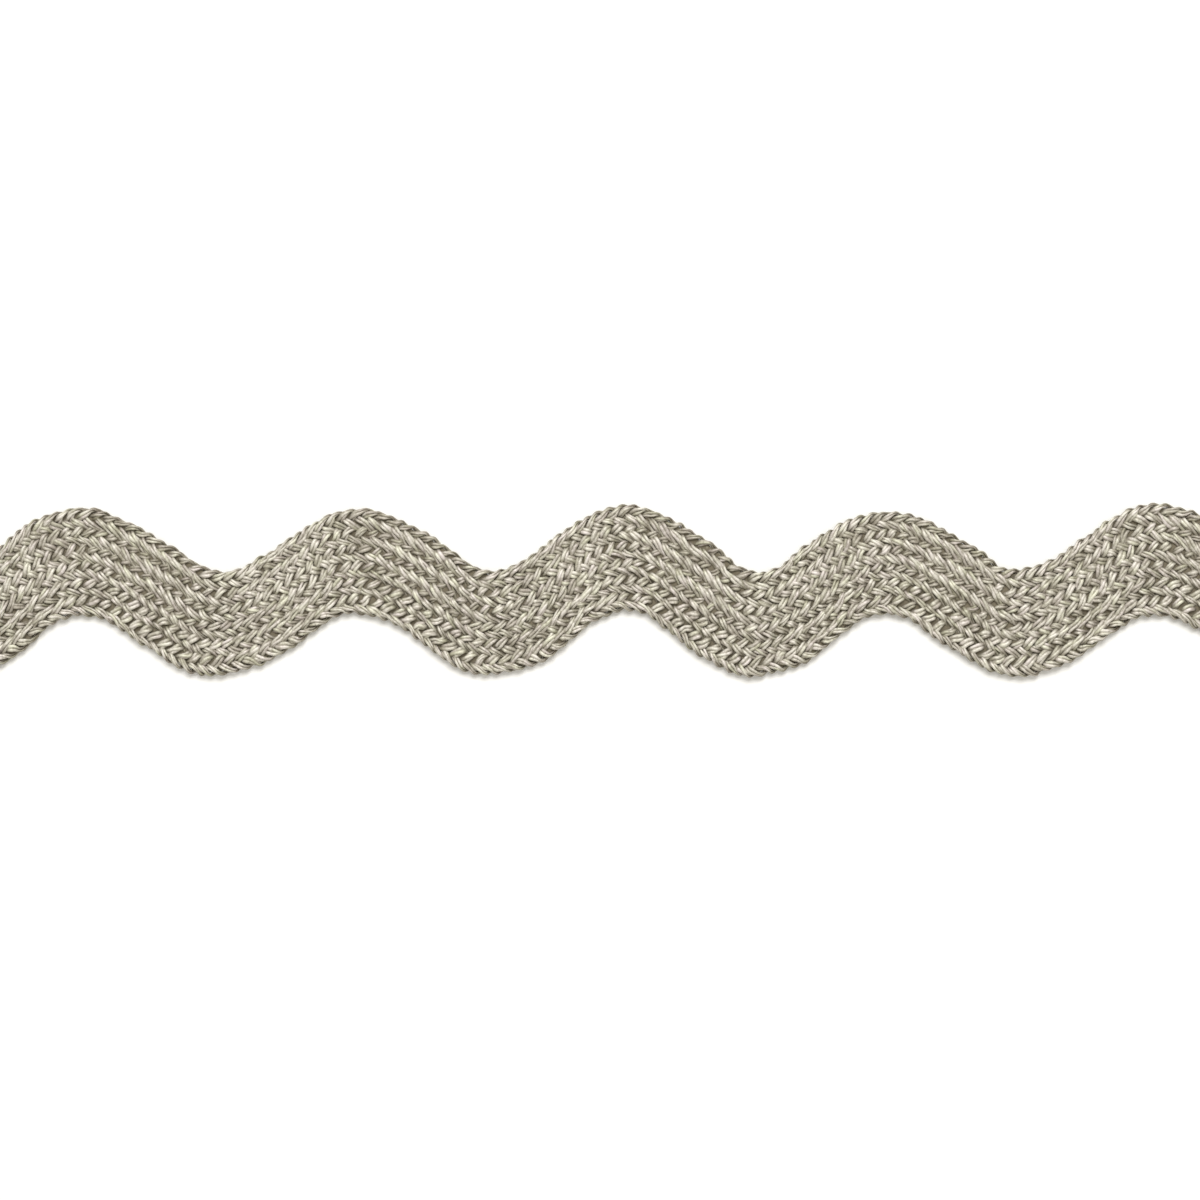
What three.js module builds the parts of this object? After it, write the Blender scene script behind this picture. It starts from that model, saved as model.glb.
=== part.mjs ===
// A cut length of ric rac: one flat braid that zigzags, lying face up.
// Millimetres. X runs along the length, Y across it and Z up. The underside lies on Z = 0.
import * as THREE from "three";

// Driving sizes
const THICKNESS = 1.6;
const ROWS = 12;
const GROOVE_DEPTH = 0.24;
const EDGE_ROUND = 1.1;
const UNDERSIDE_INSET = 0.45;
const POINTS_PER_ROW = 3;
const SECTIONS = 120;

// The far edge, a row for each turn of the zigzag.
// along and across place the turn. skew and straight shape the run from it to the next turn.
const FAR_EDGE = [
  { along: -97.94, across: 2.78, skew: 0.17, straight: -0.014 },
  { along: -78.77, across: 12.07, skew: -0.21, straight: 0.025 },
  { along: -57.62, across: 2.81, skew: 0.16, straight: 0.012 },
  { along: -37.75, across: 11.95, skew: -0.26, straight: 0.036 },
  { along: -18.49, across: 2.87, skew: 0.14, straight: 0.009 },
  { along: 1.38, across: 12.48, skew: -0.3, straight: 0.045 },
  { along: 20.25, across: 2.68, skew: 0.29, straight: 0.023 },
  { along: 39.48, across: 11.59, skew: -0.32, straight: 0.039 },
  { along: 58.15, across: 3.08, skew: 0, straight: 0.004 },
  { along: 78.66, across: 12.75, skew: -0.08, straight: -0.041 },
  { along: 97.94, across: 2.78, skew: 0, straight: 0 },
];

// The near edge, in the same way.
const NEAR_EDGE = [
  { along: -97.94, across: -12.61, skew: -0.21, straight: -0.04 },
  { along: -77.54, across: -3.78, skew: 0.11, straight: 0.033 },
  { along: -60.2, across: -12.6, skew: -0.43, straight: 0.034 },
  { along: -39.16, across: -3.5, skew: -0.11, straight: -0.008 },
  { along: -19.15, across: -12.5, skew: -0.2, straight: -0.023 },
  { along: 1.42, across: -3.18, skew: 0.13, straight: 0.012 },
  { along: 19.28, across: -12.69, skew: -0.25, straight: -0.015 },
  { along: 39.28, across: -3.56, skew: 0.15, straight: 0.02 },
  { along: 58.29, across: -12.73, skew: -0.21, straight: -0.003 },
  { along: 78.55, across: -3.84, skew: -0.18, straight: 0.029 },
  { along: 97.94, across: -12.75, skew: 0, straight: 0 },
];

// How far a run has crossed the band, 0 to 1, at the share s of its length
function crossing(s, skew, straight) {
  const q = s + (skew * Math.sin(Math.PI * s) ** 2) / Math.PI;
  const wave = 0.5 - 0.5 * Math.cos(Math.PI * q);
  const bend = Math.sin(2 * Math.PI * q) * (1 - Math.cos(2 * Math.PI * q));
  return wave + straight * bend;
}

// Where an edge lies across the band at a place along it
function edgeAt(edge, x) {
  let i = 0;
  while (i < edge.length - 2 && x > edge[i + 1].along) {
    i += 1;
  }
  const from = edge[i];
  const to = edge[i + 1];
  const s = (x - from.along) / (to.along - from.along);
  return from.across + (to.across - from.across) * crossing(s, from.skew, from.straight);
}

// Height of the braid's face at a distance in from the nearer edge
function faceHeight(inset) {
  const open = 1 - Math.min(Math.max(inset, 0) / EDGE_ROUND, 1);
  return (THICKNESS / 2) * (1 + Math.sqrt(1 - open * open));
}

// One section across the band: the ribbed face from near edge to far edge, then back underneath
function section(x) {
  const near = edgeAt(NEAR_EDGE, x);
  const far = edgeAt(FAR_EDGE, x);
  const steps = ROWS * POINTS_PER_ROW;
  const ring = [];
  for (let i = 0; i <= steps; i += 1) {
    const y = near + ((far - near) * i) / steps;
    const inset = Math.min(y - near, far - y);
    const grooved = i % POINTS_PER_ROW === 0 && i > 0 && i < steps;
    const groove = grooved ? GROOVE_DEPTH : 0;
    ring.push([y, faceHeight(inset) - groove]);
  }
  ring.push([far - UNDERSIDE_INSET * 0.3, THICKNESS * 0.2]);
  ring.push([far - UNDERSIDE_INSET, 0]);
  ring.push([near + UNDERSIDE_INSET, 0]);
  ring.push([near + UNDERSIDE_INSET * 0.3, THICKNESS * 0.2]);
  return ring;
}

// The whole band: sections joined along its length and closed by the two straight cuts
function bandGeometry() {
  const first = FAR_EDGE[0].along;
  const last = FAR_EDGE[FAR_EDGE.length - 1].along;
  const rings = [];
  for (let k = 0; k <= SECTIONS; k += 1) {
    const x = first + ((last - first) * k) / SECTIONS;
    rings.push({ x, points: section(x) });
  }
  const around = rings[0].points.length;
  const positions = [];
  for (const ring of rings) {
    for (const [y, z] of ring.points) {
      positions.push(ring.x, y, z);
    }
  }
  const faces = [];
  for (let k = 0; k < SECTIONS; k += 1) {
    for (let i = 0; i < around; i += 1) {
      const a = k * around + i;
      const b = k * around + ((i + 1) % around);
      faces.push(a, a + around, b);
      faces.push(b, a + around, b + around);
    }
  }
  const endStart = SECTIONS * around;
  const startOutline = rings[0].points.map(([y, z]) => new THREE.Vector2(y, z));
  for (const [a, b, c] of THREE.ShapeUtils.triangulateShape(startOutline, [])) {
    faces.push(a, c, b);
  }
  const endOutline = rings[SECTIONS].points.map(([y, z]) => new THREE.Vector2(y, z));
  for (const [a, b, c] of THREE.ShapeUtils.triangulateShape(endOutline, [])) {
    faces.push(endStart + a, endStart + b, endStart + c);
  }
  const geometry = new THREE.BufferGeometry();
  geometry.setAttribute("position", new THREE.Float32BufferAttribute(positions, 3));
  geometry.setIndex(faces);
  geometry.computeVertexNormals();
  return geometry;
}

const metallicYarn = new THREE.MeshStandardMaterial({
  color: 0xa8a191,
  roughness: 0.5,
  metalness: 0.35,
});

const braid = new THREE.Mesh(bandGeometry(), metallicYarn);
braid.name = "ric_rac";

const part = new THREE.Group();
part.name = "ric_rac_length";
part.add(braid);

export default part;
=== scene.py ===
import bpy
import numpy as np
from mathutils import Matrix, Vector


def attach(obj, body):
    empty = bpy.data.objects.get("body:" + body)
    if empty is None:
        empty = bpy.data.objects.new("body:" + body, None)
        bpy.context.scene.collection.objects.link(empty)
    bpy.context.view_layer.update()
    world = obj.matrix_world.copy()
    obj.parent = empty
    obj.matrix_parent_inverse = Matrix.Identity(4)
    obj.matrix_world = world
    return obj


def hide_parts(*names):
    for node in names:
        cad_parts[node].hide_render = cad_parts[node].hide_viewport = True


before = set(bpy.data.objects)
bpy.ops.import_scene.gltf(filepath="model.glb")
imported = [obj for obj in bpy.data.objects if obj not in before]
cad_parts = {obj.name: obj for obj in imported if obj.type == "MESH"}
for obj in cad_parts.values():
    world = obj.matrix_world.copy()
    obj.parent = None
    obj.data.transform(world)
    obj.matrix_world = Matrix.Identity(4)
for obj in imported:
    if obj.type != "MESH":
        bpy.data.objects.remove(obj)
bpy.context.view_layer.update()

# Sizes in millimetres, turned into metres when a mesh is made
MM = 0.001
HALF_LENGTH = 97.94
THICKNESS = 1.6

# The braid: its strands, its waves, and the steps of a strand, two to each course
STRANDS = 25
WAVES = 5
STEPS_PER_WAVE = 50
COURSES_PER_WAVE = STEPS_PER_WAVE / 2
CREST_COURSE = 12.5
SAMPLES_PER_STEP = 4
SPARE_STEPS = 30

# A strand is a flat bundle of three threads, and each thread is a tube
THREADS = 3
THREAD_SIDES = 6
THREAD_WIDTH = 0.47
THREAD_HALF_HEIGHT = 0.23
BUNDLE_HALF_HEIGHT = 0.12

# Both edges, a row for each turn of the zigzag: its place along the band and across it,
# then how the run to the next turn leans and how straight it is
ALONG, ACROSS, SKEW, STRAIGHT = range(4)
FAR_EDGE = np.array([
    (-97.94, 2.78, 0.17, -0.014),
    (-78.77, 12.07, -0.21, 0.025),
    (-57.62, 2.81, 0.16, 0.012),
    (-37.75, 11.95, -0.26, 0.036),
    (-18.49, 2.87, 0.14, 0.009),
    (1.38, 12.48, -0.3, 0.045),
    (20.25, 2.68, 0.29, 0.023),
    (39.48, 11.59, -0.32, 0.039),
    (58.15, 3.08, 0, 0.004),
    (78.66, 12.75, -0.08, -0.041),
    (97.94, 2.78, 0, 0),
])
NEAR_EDGE = np.array([
    (-97.94, -12.61, -0.21, -0.04),
    (-77.54, -3.78, 0.11, 0.033),
    (-60.2, -12.6, -0.43, 0.034),
    (-39.16, -3.5, -0.11, -0.008),
    (-19.15, -12.5, -0.2, -0.023),
    (1.42, -3.18, 0.13, 0.012),
    (19.28, -12.69, -0.25, -0.015),
    (39.28, -3.56, 0.15, 0.02),
    (58.29, -12.73, -0.21, -0.003),
    (78.55, -3.84, -0.18, 0.029),
    (97.94, -12.75, 0, 0),
])


# Where an edge lies across the band at places along it
def edge_at(edge, x):
    x = np.clip(x, edge[0, ALONG], edge[-1, ALONG])
    i = np.clip(np.searchsorted(edge[:, ALONG], x) - 1, 0, len(edge) - 2)
    s = (x - edge[i, ALONG]) / (edge[i + 1, ALONG] - edge[i, ALONG])
    q = s + edge[i, SKEW] * np.sin(np.pi * s) ** 2 / np.pi
    bend = np.sin(2 * np.pi * q) * (1 - np.cos(2 * np.pi * q))
    crossed = 0.5 - 0.5 * np.cos(np.pi * q) + edge[i, STRAIGHT] * bend
    return edge[i, ACROSS] + (edge[i + 1, ACROSS] - edge[i, ACROSS]) * crossed


# Smooth seeded unevenness, about -1 to 1, over places in the plane: a few crossing waves
WOBBLE_WAVES = 7
WOBBLE_RANGE = (0.6, 1.7)
WOBBLE_HEIGHT = 3


def wobble(x, y, seed, size):
    rng = np.random.default_rng(seed)
    total = np.zeros_like(x)
    for _ in range(WOBBLE_WAVES):
        turn = rng.uniform(0, 2 * np.pi)
        wave = size * rng.uniform(*WOBBLE_RANGE)
        shift = rng.uniform(0, 2 * np.pi)
        total = total + np.sin((x * np.cos(turn) + y * np.sin(turn)) * 2 * np.pi / wave + shift)
    return total / WOBBLE_HEIGHT


# The courses of the braid are evenly spaced along its middle line. This gives their places along X
TABLE_POINTS = 4001


def course_table():
    x = np.linspace(-HALF_LENGTH, HALF_LENGTH, TABLE_POINTS)
    y = (edge_at(FAR_EDGE, x) + edge_at(NEAR_EDGE, x)) / 2
    run = np.concatenate([[0], np.cumsum(np.hypot(np.diff(x), np.diff(y)))])
    turns = (FAR_EDGE[::2, ALONG] + NEAR_EDGE[::2, ALONG]) / 2
    run_at_turns = np.interp(turns, x, run)
    course_at_turns = np.arange(WAVES + 1) * COURSES_PER_WAVE
    course = np.interp(run, run_at_turns, course_at_turns)
    return course, x


COURSE, COURSE_X = course_table()
PITCH_X = 2 * HALF_LENGTH / (WAVES * COURSES_PER_WAVE)


def course_x(course):
    inside = np.interp(course, COURSE, COURSE_X)
    below = np.minimum(course - COURSE[0], 0)
    above = np.maximum(course - COURSE[-1], 0)
    return inside + (below + above) * PITCH_X


# The place of a course in the zigzag, in radians: a crest at 0, then the run down, a trough at pi
# and the run up
def zigzag_turn(course):
    return 2 * np.pi * (course - CREST_COURSE) / COURSES_PER_WAVE


# 1 in the middle of a run down, 0 at the turns and on the runs up
def run_down(bank):
    return np.maximum(np.sin(bank), 0)


# How far the courses lean along X for each lateral step, which changes with the zigzag
LEAN_MEAN = -0.117
LEAN_ONCE = -0.035
LEAN_TWICE = -0.01


def lean(course):
    bank = zigzag_turn(course)
    return LEAN_MEAN + LEAN_ONCE * np.cos(bank) + LEAN_TWICE * np.cos(2 * bank)


# A point of the braid's grid: course along it, lateral step across it from the near edge
def grid_point(course, lateral):
    x = course_x(course) + lean(course) * (lateral - STRANDS / 2)
    near = edge_at(NEAR_EDGE, x)
    far = edge_at(FAR_EDGE, x)
    y = near + (far - near) * lateral / STRANDS
    return x, y


# How much the falling strands come to the front, and the rising ones go back, over the band:
# a weight at each share of the width, for the whole zigzag, its runs down and its runs up
LIFT_SHARES = (0.0, 0.1, 0.3, 0.5, 0.7, 0.9, 1.0)
LIFT_MEAN = (0.0, 0.0, 0.0, 0.05, 0.05, 0.0, 0.0)
LIFT_DOWN = (-0.2, -0.3, -0.3, 0.2, 0.3, 0.25, 0.0)
LIFT_UP = (0.0, -0.15, -0.25, -0.1, 0.0, -0.1, 0.0)
LIFT_SPREAD = 1.4


def lift(bank, share):
    mean = np.interp(share, LIFT_SHARES, LIFT_MEAN)
    down = np.interp(share, LIFT_SHARES, LIFT_DOWN) * np.clip(LIFT_SPREAD * np.sin(bank), 0, 1)
    up = np.interp(share, LIFT_SHARES, LIFT_UP) * np.clip(-LIFT_SPREAD * np.sin(bank), 0, 1)
    return mean + down + up


# How far the floats of each family turn out of the braid's own grid, in degrees.
# Columns: share of the width, turn everywhere, more at the crests than in the troughs,
# more on the runs down than on the runs up, more at both turns than on the runs, and
# more on the early half of each run than on its late half
FALLING_TURN = np.array([
    (0.1, 9, 8, -1, 3, 1),
    (0.3, 7, 5, 5, 3, 2),
    (0.5, 5, -1, 3, 2, 3),
    (0.7, 6, -3, 1, 2, 2),
    (0.9, 7, -5, 3, 2, 0),
])
RISING_TURN = np.array([
    (0.1, 1, -1, 3, 8, 4),
    (0.3, -3, 2, 3, 5, 0),
    (0.5, 2, 3, -10, 3, -5),
    (0.7, 2, 3, -15, 6, -6),
    (0.9, -7, -2, -6, 9, -5),
])


def float_turn(table, bank, share):
    waves = (np.ones_like(bank), np.cos(bank), np.sin(bank), np.cos(2 * bank), np.sin(2 * bank))
    total = np.zeros_like(bank)
    for column, wave in enumerate(waves, start=1):
        total = total + np.interp(share, table[:, 0], table[:, column]) * wave
    return np.radians(total)


# A strand crosses the band, turns round at the edge and comes back. Its lateral place counts from
# 0 at the near edge to the number of strands at the far edge
TURN_ROUNDING = 0.4
TURN_SPAN = 1.5


def strand_steps(j):
    end = WAVES * STEPS_PER_WAVE + SPARE_STEPS
    steps = np.arange(-SPARE_STEPS, end, 1 / SAMPLES_PER_STEP)
    phase = np.mod(steps + 2 * j, 2 * STRANDS)
    lateral = STRANDS - np.abs(phase - STRANDS)
    rising = phase < STRANDS
    return steps, lateral, rising


def rounded_turns(lateral):
    low = np.sqrt(lateral ** 2 + TURN_ROUNDING ** 2)
    high = STRANDS - np.sqrt((STRANDS - lateral) ** 2 + TURN_ROUNDING ** 2)
    return np.where(lateral < STRANDS / 2, low, high)


# 0 at an edge of the band, 1 from the first crossing inwards
def edge_ease(lateral):
    return np.clip(np.minimum(lateral, STRANDS - lateral) / TURN_SPAN, 0, 1)


# 1 where a strand turns round at an edge, 0 inside the band
def turning_round(lateral):
    return np.clip(TURN_SPAN - np.minimum(lateral, STRANDS - lateral), 0, 1)


# A strand fills the gap between its neighbours, is wider in front and narrower where it turns round
WIDTH_SHARE = 0.62
NARROWEST = 0.52
WIDEST = 0.6
FRONT_WIDENING = 0.25
TURN_HALF_WIDTH = 0.34
HALF_COURSE = 0.5


def strand_half_width(course, lateral, rising, heading):
    middle = rounded_turns(lateral)
    ahead_x, ahead_y = grid_point(course + HALF_COURSE, middle)
    behind_x, behind_y = grid_point(course - HALF_COURSE, middle)
    gap = np.abs((ahead_x - behind_x) * np.sin(heading) - (ahead_y - behind_y) * np.cos(heading))
    half_width = np.clip(WIDTH_SHARE * gap, NARROWEST, WIDEST)
    favour = np.where(rising, -1, 1) * lift(zigzag_turn(course), lateral / STRANDS)
    half_width = half_width * (1 + FRONT_WIDENING * favour)
    return half_width + (TURN_HALF_WIDTH - half_width) * turning_round(lateral)


# Floats: over two strands, then under two. A falling strand is on top in the middle of the first float
FIRST_FLOAT = 1.5
FLOAT_PERIOD = 4
NEAR_SHIFT = 1.15
NEAR_SHIFT_REACH = 4.0
EARLY_FALLING = 0.7
EARLY_RISING = 0.2
FLAT_FALLING = 1.0
FLAT_RISING = 1.2
SHINGLE = 0.45
RUNG_DROP = 0.6
RUNG_SHARES = (0.25, 0.5)


def float_beat(crossing):
    return 2 * np.pi * (crossing - FIRST_FLOAT) / FLOAT_PERIOD


# The wave of a strand's floats and its beat: 1 where a falling strand is on top and a rising one is
# underneath, -1 the other way round. On the runs down the first crossings crowd to the near edge
def float_wave(lateral, rising, bank):
    ease = edge_ease(lateral)
    shift = NEAR_SHIFT * run_down(bank) * np.clip(1 - lateral / NEAR_SHIFT_REACH, 0, 1)
    crossing = lateral + shift
    beat = float_beat(crossing)
    early = np.where(rising, -EARLY_RISING, EARLY_FALLING) * ease
    inner = np.cos(beat - early * np.cos(beat)) + ease * lift(bank, lateral / STRANDS)
    shift_wave = np.sin(np.pi / 2 * shift / TURN_SPAN)
    near_end = np.sin(np.pi / 2 * crossing / TURN_SPAN) - shift_wave * (1 - ease)
    far_end = -np.sin(np.pi / 2 * (STRANDS - lateral) / TURN_SPAN)
    wave = np.where(lateral > STRANDS - TURN_SPAN, far_end, inner)
    return np.where(crossing < TURN_SPAN, near_end, wave), beat


# The height of a strand in the braid. On the runs down, each falling float starts above the end of
# the one before it, and the rising strands lie deep between the ropes that the falling ones make
def strand_height(lateral, rising, bank):
    ease = edge_ease(lateral)
    wave, beat = float_wave(lateral, rising, bank)
    over = np.where(rising, -wave, wave)
    flatness = np.where(rising, FLAT_RISING, FLAT_FALLING)
    over = np.clip(np.tanh(flatness * over) / np.tanh(flatness), -1, 1)
    crown = np.maximum(np.cos(beat), 0) * np.sin(beat) * run_down(bank) * ease
    over = over + np.where(rising, 0, SHINGLE * crown)
    deep = RUNG_DROP * run_down(bank) * np.interp(lateral / STRANDS, RUNG_SHARES, (0, 1)) * ease
    over = over - np.where(rising, deep * np.maximum(over, 0), 0)
    return THICKNESS / 2 + over * (THICKNESS / 2 - THREAD_HALF_HEIGHT - BUNDLE_HALF_HEIGHT)


# On the runs down, the turns at the far edge reach forward along it
TIP_REACH = 0.35
TIP_DEPTH = 0.9
TIP_SLOPE = 0.55


def tip_reach(lateral, bank):
    return TIP_REACH * run_down(bank) * np.exp(-((STRANDS - lateral) / TIP_DEPTH) ** 2)


# Seeded unevenness, in millimetres: the whole band strays, and each strand strays a little by itself
BAND_STRAY = 0.1
BAND_STRAY_LENGTH = 6.0
BAND_X_SEED = 11
BAND_Y_SEED = 12
STRAND_STRAY = 0.14
STRAND_STRAY_LENGTH = 4.0
STRAND_X_SEED = 21
STRAND_Y_SEED = 61
TURN_HOLD = 0.3
WIDTH_STRAY = 0.13
WIDTH_STRAY_LENGTH = 6.0
WIDTH_SEED = 101
BAND_HEIGHT_STRAY = 0.03
BAND_HEIGHT_LENGTH = 4.0
BAND_HEIGHT_SEED = 13
STRAND_HEIGHT_STRAY = 0.05
STRAND_HEIGHT_LENGTH = 3.5
STRAND_HEIGHT_SEED = 141
CUT_STRAY = 0.25
CUT_SEED = 400


def strayed(j, steps, lateral, x, y):
    loose = STRAND_STRAY * (1 - TURN_HOLD * turning_round(lateral))
    band = BAND_STRAY * wobble(x, y, BAND_X_SEED, BAND_STRAY_LENGTH)
    x = x + band + loose * wobble(steps, x, STRAND_X_SEED + j, STRAND_STRAY_LENGTH)
    band = BAND_STRAY * wobble(x, y, BAND_Y_SEED, BAND_STRAY_LENGTH)
    y = y + band + loose * wobble(steps, x, STRAND_Y_SEED + j, STRAND_STRAY_LENGTH)
    return x, y


def uneven_height(j, steps, x, y, z):
    band = BAND_HEIGHT_STRAY * wobble(x, y, BAND_HEIGHT_SEED, BAND_HEIGHT_LENGTH)
    own = STRAND_HEIGHT_STRAY * wobble(steps, x, STRAND_HEIGHT_SEED + j, STRAND_HEIGHT_LENGTH)
    return z + band + own


# The samples of a strand between the two cuts
def between_cuts(j, x):
    rng = np.random.default_rng(CUT_SEED + j)
    left = -HALF_LENGTH + rng.uniform(0, CUT_STRAY)
    right = HALF_LENGTH - rng.uniform(0, CUT_STRAY)
    return (x > left) & (x < right)


# The middle line of one strand and its half width along it, in millimetres
def strand_path(j):
    steps, lateral, rising = strand_steps(j)
    course = steps / 2
    bank = zigzag_turn(course)
    share = lateral / STRANDS
    x, y = grid_point(course, rounded_turns(lateral))
    dx = np.gradient(x)
    dy = np.gradient(y)
    length = np.hypot(dx, dy)
    rising_turn = float_turn(RISING_TURN, bank, share)
    falling_turn = float_turn(FALLING_TURN, bank, share)
    turn = edge_ease(lateral) * np.where(rising, rising_turn, falling_turn)
    half_width = strand_half_width(course, lateral, rising, np.arctan2(dy, dx) + turn)
    z = strand_height(lateral, rising, bank)
    # each float turns a little in plan, round its own middle
    swing = -np.sin(float_beat(lateral))
    offset = np.tan(turn) * length * SAMPLES_PER_STEP * (2 / np.pi) * swing
    x = x - dy / length * offset
    y = y + dx / length * offset
    reach = tip_reach(lateral, bank)
    x, y = strayed(j, steps, lateral, x + reach, y - TIP_SLOPE * reach)
    half_width = half_width * (1 + WIDTH_STRAY * wobble(steps, x, WIDTH_SEED + j, WIDTH_STRAY_LENGTH))
    z = uneven_height(j, steps, x, y, z)
    keep = between_cuts(j, x)
    return np.stack([x, y, z], 1)[keep], half_width[keep]


# The threads of a strand turn slowly and unevenly round each other
TWIST_PITCH = 11.0
TWIST_STRAY = 0.09
TWIST_STRAY_LENGTH = 7.0
TWIST_SEED = 900
TWIST_START = 0.37

# Seeded unevenness of the threads: how far, over what length, and the seed of the first thread
THREADS_PER_SEED = 10
MIDDLE_STRAY = (0.05, 4.0, 1300)
RAISED_STRAY = (0.03, 4.0, 1700)
THICK_STRAY = (0.1, 5.0, 2100)


# Where a thread lies round the middle of its strand, in radians, at each place along the strand
def thread_turn(run, seed, thread):
    stray_turn = TWIST_STRAY * wobble(run, np.zeros_like(run), TWIST_SEED + seed, TWIST_STRAY_LENGTH)
    turns = run / TWIST_PITCH + stray_turn + TWIST_START * seed
    return 2 * np.pi * (turns + thread / THREADS)


def thread_stray(run, turn, kind, own):
    amount, size, first_seed = kind
    return amount * wobble(run, turn, first_seed + own, size)


# Unit directions across a path and up from it
def path_axes(path):
    forward = np.gradient(path, axis=0)
    forward /= np.linalg.norm(forward, axis=1, keepdims=True)
    side = np.stack([-forward[:, 1], forward[:, 0], np.zeros(len(path))], 1)
    side /= np.linalg.norm(side, axis=1, keepdims=True)
    return side, np.cross(forward, side)


# The rings of points round one thread of a strand
def thread_rings(path, run, half_width, seed, thread):
    side, up = path_axes(path)
    turn = thread_turn(run, seed, thread)
    own = THREADS_PER_SEED * seed + thread
    middle = (1 - THREAD_WIDTH) * half_width * np.cos(turn) + thread_stray(run, turn, MIDDLE_STRAY, own)
    raised = BUNDLE_HALF_HEIGHT * np.sin(turn) + thread_stray(run, turn, RAISED_STRAY, own)
    thick = 1 + thread_stray(run, turn, THICK_STRAY, own)
    round_it = np.pi / 2 + 2 * np.pi * np.arange(THREAD_SIDES) / THREAD_SIDES
    across = middle[:, None] + (THREAD_WIDTH * half_width * thick)[:, None] * np.cos(round_it)
    rise = raised[:, None] + (THREAD_HALF_HEIGHT * thick)[:, None] * np.sin(round_it)
    sideways = across[:, :, None] * side[:, None, :]
    upwards = rise[:, :, None] * up[:, None, :]
    return path[:, None, :] + sideways + upwards


# The ring and the side of every corner of a tube's side faces
def tube_corners(rings):
    k = np.repeat(np.arange(rings - 1), THREAD_SIDES)
    i = np.tile(np.arange(THREAD_SIDES), rings - 1)
    corner_rings = np.stack([k, k, k + 1, k + 1], 1)
    corner_sides = np.stack([i, i + 1, i + 1, i], 1)
    return corner_rings, corner_sides


# Two UV maps: rows of equal length for baking, and millimetres along the strand for the yarn
BAKE_ROWS = 8
ROUND_START = 0.05
ROUND_SPAN = 0.9
RUN_BETWEEN_STRANDS = 40.0


def thread_uvs(run, corners, seed, thread):
    corner_rings, corner_sides = corners
    place = thread + (ROUND_START + ROUND_SPAN * corner_sides / THREAD_SIDES)
    along = np.stack([run[corner_rings] + RUN_BETWEEN_STRANDS * seed, place], 2)
    share = run / run[-1] * BAKE_ROWS
    row = np.minimum(np.floor(share), BAKE_ROWS - 1)[corner_rings[:, :1]]
    fold_u = np.clip(share[corner_rings] - row, 0, 1)
    fold_v = (row + place / THREADS) / BAKE_ROWS
    folded = np.stack([fold_u, fold_v], 2)
    return folded.reshape(-1, 2), along.reshape(-1, 2)


# The closed tubes of a strand's threads along its path
def strand_mesh(name, path, half_width, seed):
    rings = len(path)
    run = np.concatenate([[0], np.cumsum(np.linalg.norm(np.diff(path, axis=0), axis=1))])
    corner_rings, corner_sides = tube_corners(rings)
    vertices = []
    faces = []
    caps = []
    uvs = []
    for thread in range(THREADS):
        start = thread * rings * THREAD_SIDES
        end = start + (rings - 1) * THREAD_SIDES
        vertices.append(thread_rings(path, run, half_width, seed, thread).reshape(-1, 3))
        faces += (start + corner_rings * THREAD_SIDES + corner_sides % THREAD_SIDES).tolist()
        caps.append([start + n for n in reversed(range(THREAD_SIDES))])
        caps.append([end + n for n in range(THREAD_SIDES)])
        uvs.append(thread_uvs(run, (corner_rings, corner_sides), seed, thread))
    points = np.concatenate(vertices) * MM
    points[:, 2] = np.maximum(points[:, 2], 0)
    mesh = bpy.data.meshes.new(name)
    mesh.from_pydata(points.tolist(), [], faces + caps)
    cap_uvs = np.zeros((2 * THREADS * THREAD_SIDES, 2))
    for label, values in zip(("OFBake", "Along"), zip(*uvs)):
        layer = mesh.uv_layers.new(name=label)
        flat = np.concatenate([*values, cap_uvs])
        layer.data.foreach_set("uv", flat.astype(np.float32).ravel())
    mesh.polygons.foreach_set("use_smooth", np.ones(len(mesh.polygons), dtype=bool))
    mesh.update()
    return mesh


def link(obj):
    bpy.context.scene.collection.objects.link(obj)
    return obj


# Nodes of a material
def plug(tree, sockets, values):
    for socket, value in zip(sockets, values):
        if isinstance(value, (int, float)):
            socket.default_value = value
        else:
            tree.links.new(value, socket)


def maths(tree, operation, *values):
    made = tree.nodes.new("ShaderNodeMath")
    made.operation = operation
    plug(tree, made.inputs, values)
    return made.outputs["Value"]


def times(tree, value, factor):
    return maths(tree, "MULTIPLY", value, factor)


def combine(tree, x, y, z=0.0):
    made = tree.nodes.new("ShaderNodeCombineXYZ")
    plug(tree, made.inputs, (x, y, z))
    return made.outputs["Vector"]


def split(tree, vector):
    made = tree.nodes.new("ShaderNodeSeparateXYZ")
    tree.links.new(vector, made.inputs["Vector"])
    return made.outputs["X"], made.outputs["Y"], made.outputs["Z"]


NOISE_DETAIL = 2.0
NOISE_ROUGHNESS = 0.6


def noise(tree, x, y, z=0.0):
    vector = combine(tree, x, y, z)
    made = tree.nodes.new("ShaderNodeTexNoise")
    made.inputs["Scale"].default_value = 1.0
    made.inputs["Detail"].default_value = NOISE_DETAIL
    made.inputs["Roughness"].default_value = NOISE_ROUGHNESS
    tree.links.new(vector, made.inputs["Vector"])
    return made.outputs["Fac"]


def ramp(tree, fac, stops):
    made = tree.nodes.new("ShaderNodeValToRGB")
    elements = made.color_ramp.elements
    for element, (place, colour) in zip(elements, (stops[0], stops[-1])):
        element.position = place
        element.color = (*colour, 1)
    for place, colour in stops[1:-1]:
        elements.new(place).color = (*colour, 1)
    tree.links.new(fac, made.inputs["Fac"])
    return made.outputs["Color"]


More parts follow.
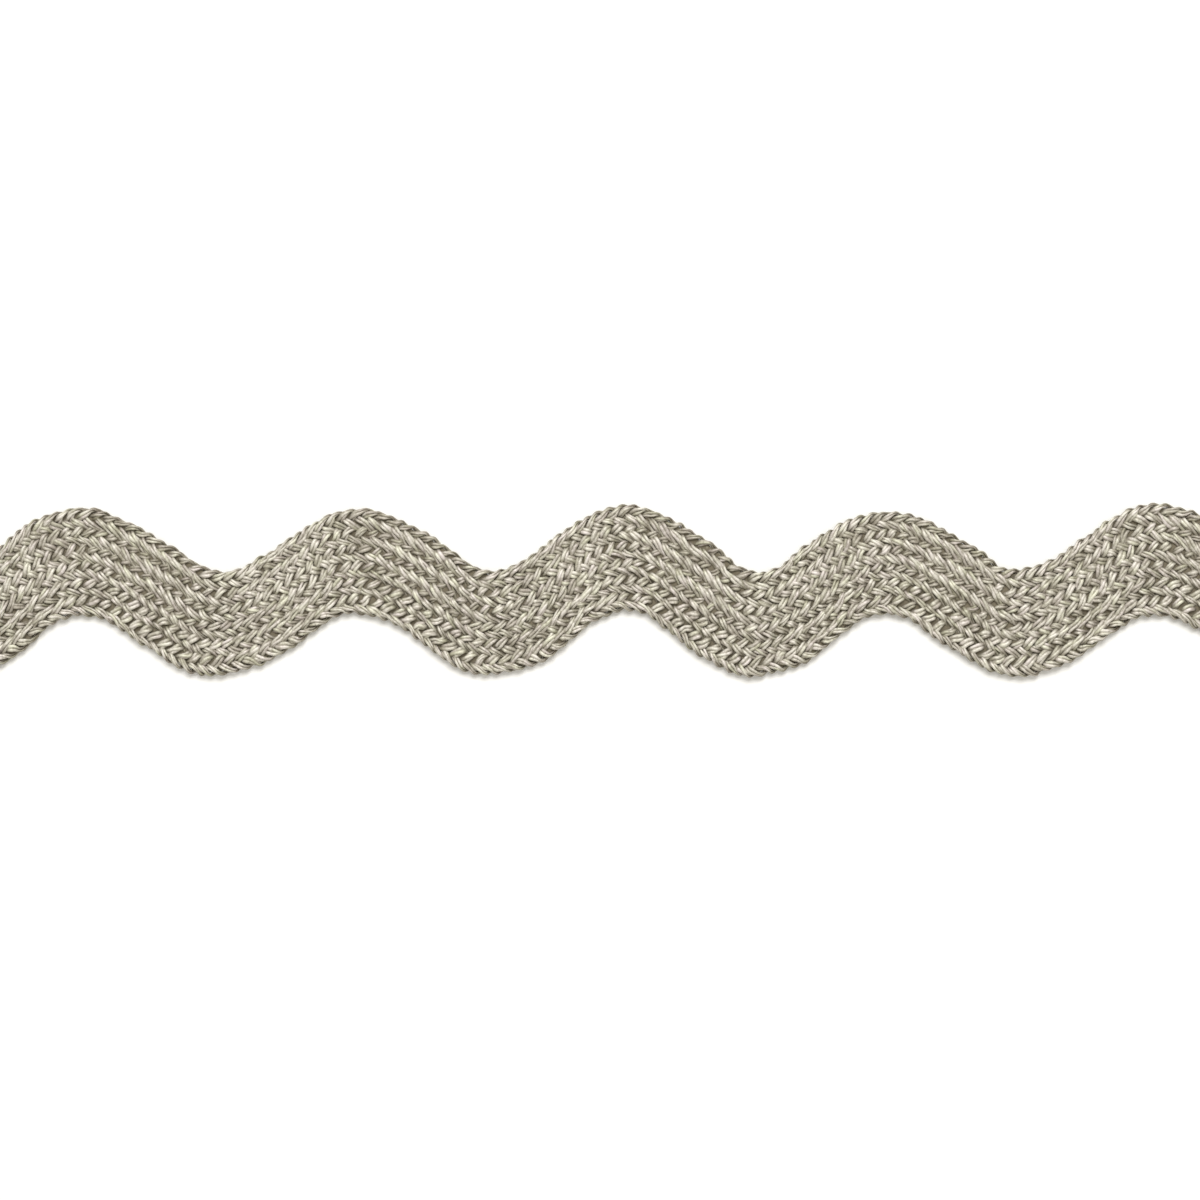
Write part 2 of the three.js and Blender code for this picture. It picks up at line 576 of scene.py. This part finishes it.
# The yarn: silver and beige, with tones that change along each strand, each thread and each fibre. The
# changes along each strand are partly painted reflection and those of each fibre partly painted glints
# of the metal thread; the yarn is also painted darker deeper in the braid as painted shade
YARN_METALLIC = 0.35
YARN_ROUGHNESS = 0.55
YARN_TONES = (
    (0.3, (0.18, 0.157, 0.117)),
    (0.42, (0.31, 0.284, 0.229)),
    (0.53, (0.425, 0.398, 0.337)),
    (0.68, (0.69, 0.662, 0.597)),
)
YARN_TINGES = (
    (0.36, (0.97, 1.0, 0.91)),
    (0.5, (1.0, 1.0, 1.0)),
    (0.64, (1.0, 0.965, 1.02)),
)
# Strand tone: partly the yarn's own unevenness, partly painted reflection, with whole floats painted
# brighter or darker as if they caught the light or not
STRAND_RATE = 0.42
STRAND_PLANE = 11.0
STRAND_TONE_AND_SHEEN_AMOUNT = 0.6
THREAD_RATE = 0.55
THREAD_SPACING = 5.3
THREAD_AMOUNT = 0.3
# Fibre tone: the yarn's fine grain and painted glints, short bright streaks standing in for light off
# the metal foil
FIBRE_RATE = 3.2
FIBRE_SPACING = 2.4
FIBRE_PLANE = 7.0
FIBRE_GRAIN_AND_GLINT_AMOUNT = 0.4
TONE_DROP = 0.09
TINGE_RATE = 0.25
TINGE_SPACING = 3.1
TINGE_PLANE = 23.0
# Painted shade by depth: yarn near the middle of the thickness is painted darker, yarn at the outer
# faces a little lighter
DEPTH_SHADE_MIDDLE = 0.75
DEPTH_SHADE_AMOUNT = 0.31
FIBRE_BUMP = 0.5
FIBRE_BUMP_HEIGHT = 0.0001


# Painted shade: deeper in the braid the yarn is painted darker, and at the outer faces a little
# lighter, as the shade in the crevices between strands would make it
def painted_depth_shade(tree):
    where = tree.nodes.new("ShaderNodeTexCoord")
    height = split(tree, where.outputs["Object"])[2]
    off_middle = maths(tree, "SUBTRACT", height, THICKNESS / 2 * MM)
    open_air = times(tree, maths(tree, "ABSOLUTE", off_middle), 2 / THICKNESS / MM)
    return times(tree, maths(tree, "SUBTRACT", open_air, DEPTH_SHADE_MIDDLE), DEPTH_SHADE_AMOUNT)


def yarn_tone(tree, run, thread, fibre):
    # Tone along each strand: partly the yarn's own unevenness, partly painted reflection of the floats
    strand = noise(tree, times(tree, run, STRAND_RATE), STRAND_PLANE)
    own = noise(tree, times(tree, run, THREAD_RATE), times(tree, thread, THREAD_SPACING))
    tone = maths(tree, "ADD", times(tree, own, THREAD_AMOUNT), times(tree, fibre, FIBRE_GRAIN_AND_GLINT_AMOUNT))
    tone = maths(tree, "ADD", tone, times(tree, strand, STRAND_TONE_AND_SHEEN_AMOUNT))
    tone = maths(tree, "SUBTRACT", tone, TONE_DROP)
    # painted shade: the tone falls with depth in the braid
    return maths(tree, "ADD", tone, painted_depth_shade(tree))


def tinted(tree, colour, run, thread):
    across = times(tree, thread, TINGE_SPACING)
    tinge = noise(tree, times(tree, run, TINGE_RATE), across, TINGE_PLANE)
    mix = tree.nodes.new("ShaderNodeMix")
    mix.data_type = "RGBA"
    mix.blend_type = "MULTIPLY"
    mix.inputs["Factor"].default_value = 1.0
    tree.links.new(colour, mix.inputs["A"])
    tree.links.new(ramp(tree, tinge, YARN_TINGES), mix.inputs["B"])
    return mix.outputs["Result"]


def yarn_material():
    mat = bpy.data.materials.new("metallic_yarn")
    mat.use_nodes = True
    tree = mat.node_tree
    shader = tree.nodes["Principled BSDF"]
    shader.inputs["Metallic"].default_value = YARN_METALLIC
    shader.inputs["Roughness"].default_value = YARN_ROUGHNESS
    uv = tree.nodes.new("ShaderNodeUVMap")
    uv.uv_map = "Along"
    run, place, _ = split(tree, uv.outputs["UV"])
    thread = maths(tree, "FLOOR", place)
    fibre_place = times(tree, place, FIBRE_SPACING)
    # Fibre noise: grain and painted glints in the colour, and real fibre relief through the bump
    fibre = noise(tree, times(tree, run, FIBRE_RATE), fibre_place, FIBRE_PLANE)
    colour = ramp(tree, yarn_tone(tree, run, thread, fibre), YARN_TONES)
    bump = tree.nodes.new("ShaderNodeBump")
    bump.inputs["Strength"].default_value = FIBRE_BUMP
    bump.inputs["Distance"].default_value = FIBRE_BUMP_HEIGHT
    tree.links.new(fibre, bump.inputs["Height"])
    tree.links.new(tinted(tree, colour, run, thread), shader.inputs["Base Color"])
    tree.links.new(bump.outputs["Normal"], shader.inputs["Normal"])
    return mat


def plain_material(name, colour, roughness):
    mat = bpy.data.materials.new(name)
    mat.use_nodes = True
    shader = mat.node_tree.nodes["Principled BSDF"]
    shader.inputs["Base Color"].default_value = (*colour, 1)
    shader.inputs["Roughness"].default_value = roughness
    return mat


# The middle of the braid's thickness, where the strands cross: a thin closed band in the colour of
# painted shade, standing for the shaded lower strands seen through the gaps between strands
HEART_SECTIONS = 240
HEART_INSET = 0.75
HEART_END_INSET = 0.4
HEART_HALF_HEIGHT = 0.03
# Painted shade: the colour of yarn lying in shade
SHADE_COLOUR = (0.16, 0.135, 0.09)
SHADE_ROUGHNESS = 0.7


def shade_band_mesh():
    low = THICKNESS / 2 - HEART_HALF_HEIGHT
    high = THICKNESS / 2 + HEART_HALF_HEIGHT
    end_x = HALF_LENGTH - HEART_END_INSET
    x = np.linspace(-end_x, end_x, HEART_SECTIONS + 1)
    near = edge_at(NEAR_EDGE, x) + HEART_INSET
    far = edge_at(FAR_EDGE, x) - HEART_INSET
    rows = []
    for y, z in ((near, low), (far, low), (far, high), (near, high)):
        rows.append(np.stack([x, y, np.full_like(x, z)], 1))
    points = np.stack(rows, 1).reshape(-1, 3) * MM
    around = len(rows)
    faces = []
    for k in range(HEART_SECTIONS):
        for i in range(around):
            a = around * k + i
            b = around * k + (i + 1) % around
            faces.append((a, a + around, b + around, b))
    end = around * HEART_SECTIONS
    faces.append(list(range(around)))
    faces.append([end + n for n in reversed(range(around))])
    mesh = bpy.data.meshes.new("painted_shade_band")
    mesh.from_pydata(points.tolist(), [], faces)
    return mesh


# The braid: its strands, and the band of painted shade in the middle of its thickness
def build_braid():
    yarn = yarn_material()
    # A dark band of painted shade in the middle of the thickness, seen through the gaps between the
    # strands
    shade_band = link(bpy.data.objects.new("painted_shade_band", shade_band_mesh()))
    shade_band.data.materials.append(plain_material("yarn_in_shade", SHADE_COLOUR, SHADE_ROUGHNESS))
    strands = []
    for j in range(STRANDS):
        path, half_width = strand_path(j)
        name = f"strand_{j + 1:02d}"
        mesh = strand_mesh(name, path, half_width, j)
        mesh.materials.append(yarn)
        strands.append(link(bpy.data.objects.new(name, mesh)))
    for piece in [shade_band, *strands]:
        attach(piece, "root")
        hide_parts("ric_rac")


# The white surface that the braid lies on, in metres
FLOOR_SIZE = 3.0
FLOOR_COLOUR = (0.9, 0.9, 0.9)
FLOOR_ROUGHNESS = 0.9


def build_stage():
    bpy.ops.mesh.primitive_plane_add(size=FLOOR_SIZE, location=(0, 0, 0))
    floor = bpy.context.object
    floor.name = "floor"
    floor.data.materials.append(plain_material("floor", FLOOR_COLOUR, FLOOR_ROUGHNESS))


# Warm light from all round, and a window beyond the far edge. Places and sizes in metres
SKY_COLOUR = (1, 0.965, 0.88, 1)
SKY_STRENGTH = 0.75
WINDOW_PLACE = (0.0, 0.75, 1.1)
WINDOW_AIM = (0, 0, 0)
WINDOW_WIDTH = 1.0
WINDOW_HEIGHT = 0.6
WINDOW_POWER = 14.0


def build_light():
    world = bpy.data.worlds.new("studio")
    world.use_nodes = True
    back = world.node_tree.nodes["Background"]
    back.inputs["Color"].default_value = SKY_COLOUR
    back.inputs["Strength"].default_value = SKY_STRENGTH
    bpy.context.scene.world = world
    lamp = bpy.data.lights.new("window", "AREA")
    lamp.energy = WINDOW_POWER
    lamp.shape = "RECTANGLE"
    lamp.size = WINDOW_WIDTH
    lamp.size_y = WINDOW_HEIGHT
    window = link(bpy.data.objects.new("window", lamp))
    window.location = WINDOW_PLACE
    direction = Vector(WINDOW_AIM) - Vector(WINDOW_PLACE)
    window.rotation_euler = direction.to_track_quat("-Z", "Y").to_euler()


# The camera looks straight down. The picture's scale is in millimetres a pixel
PICTURE_SCALE = 0.1465
PICTURE_SIZE = 1200
CAMERA_X = -2.71
CAMERA_Y = -1.465
LENS = 100.0
SENSOR = 36.0
SIGHT_LIMIT = 20


def build_camera():
    span = PICTURE_SIZE * PICTURE_SCALE * MM
    data = bpy.data.cameras.new("camera")
    data.lens = LENS
    data.sensor_width = SENSOR
    data.clip_end = SIGHT_LIMIT
    camera = link(bpy.data.objects.new("camera", data))
    camera.location = (CAMERA_X * MM, CAMERA_Y * MM, span * LENS / SENSOR)
    camera.rotation_euler = (0, 0, 0)
    bpy.context.scene.camera = camera


build_braid()
build_stage()
build_light()
build_camera()
bpy.context.scene.view_settings.view_transform = "Standard"

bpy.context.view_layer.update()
